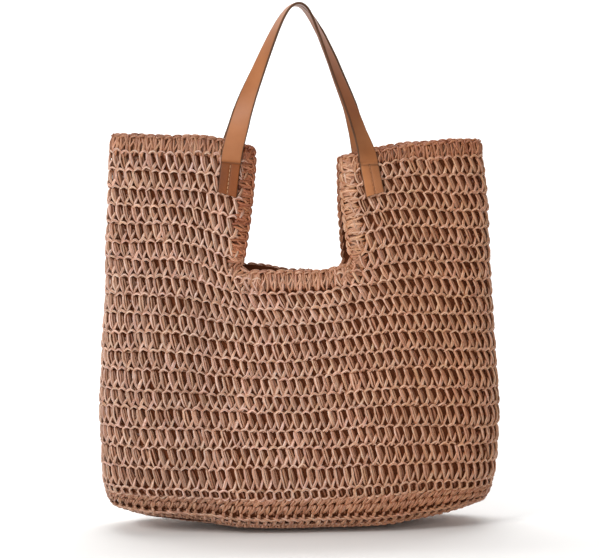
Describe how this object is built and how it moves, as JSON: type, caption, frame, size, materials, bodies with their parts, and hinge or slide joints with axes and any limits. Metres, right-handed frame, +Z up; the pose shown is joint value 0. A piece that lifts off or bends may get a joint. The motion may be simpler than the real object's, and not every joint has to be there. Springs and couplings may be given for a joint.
{
  "type": "crocheted beach tote bag",
  "caption": "Crocheted paper-straw tote with an oval base, a U-shaped notch between two open shoulders, a cloth lining and a pair of flat leather handles that fold down.",
  "frame": {"origin": "on the floor, under the middle of the oval base", "axes": "+X to the right across the width, +Z up, -Y is the front"},
  "size_m": [0.396, 0.126, 0.5222],
  "materials": {
    "paper_straw": "matt crocheted paper yarn",
    "lining_cloth": "plain woven cotton",
    "strap_leather": "smooth satin leather, dark edges",
    "backing_cloth": "felted cloth",
    "thread": "waxed thread"
  },
  "bodies": {
    "bag": {"base_panel": "paper_straw", "base_seam": "paper_straw", "body_tube": "paper_straw", "left_shoulder": "paper_straw", "right_shoulder": "paper_straw", "rim_edging": "paper_straw", "lining_base": "lining_cloth", "lining_front": "lining_cloth", "lining_back": "lining_cloth", "front_left_strap_end": "strap_leather", "front_right_strap_end": "strap_leather", "back_left_strap_end": "strap_leather", "back_right_strap_end": "strap_leather", "front_left_backing_patch": "backing_cloth", "front_right_backing_patch": "backing_cloth", "back_left_backing_patch": "backing_cloth", "back_right_backing_patch": "backing_cloth", "front_left_stitching": "thread", "front_right_stitching": "thread", "back_left_stitching": "thread", "back_right_stitching": "thread"},
    "front_handle": {"front_handle_strap": "strap_leather"},
    "back_handle": {"back_handle_strap": "strap_leather"}
  },
  "joints": [
    {"name": "front_handle_fold", "type": "hinge", "parent": "bag", "child": "front_handle", "pos_m": [0, -0.0284, 0.365], "axis": [1, 0, 0], "range_deg": [0, 165]},
    {"name": "back_handle_fold", "type": "hinge", "parent": "bag", "child": "back_handle", "pos_m": [0, 0.0284, 0.365], "axis": [-1, 0, 0], "range_deg": [0, 165]}
  ]
}
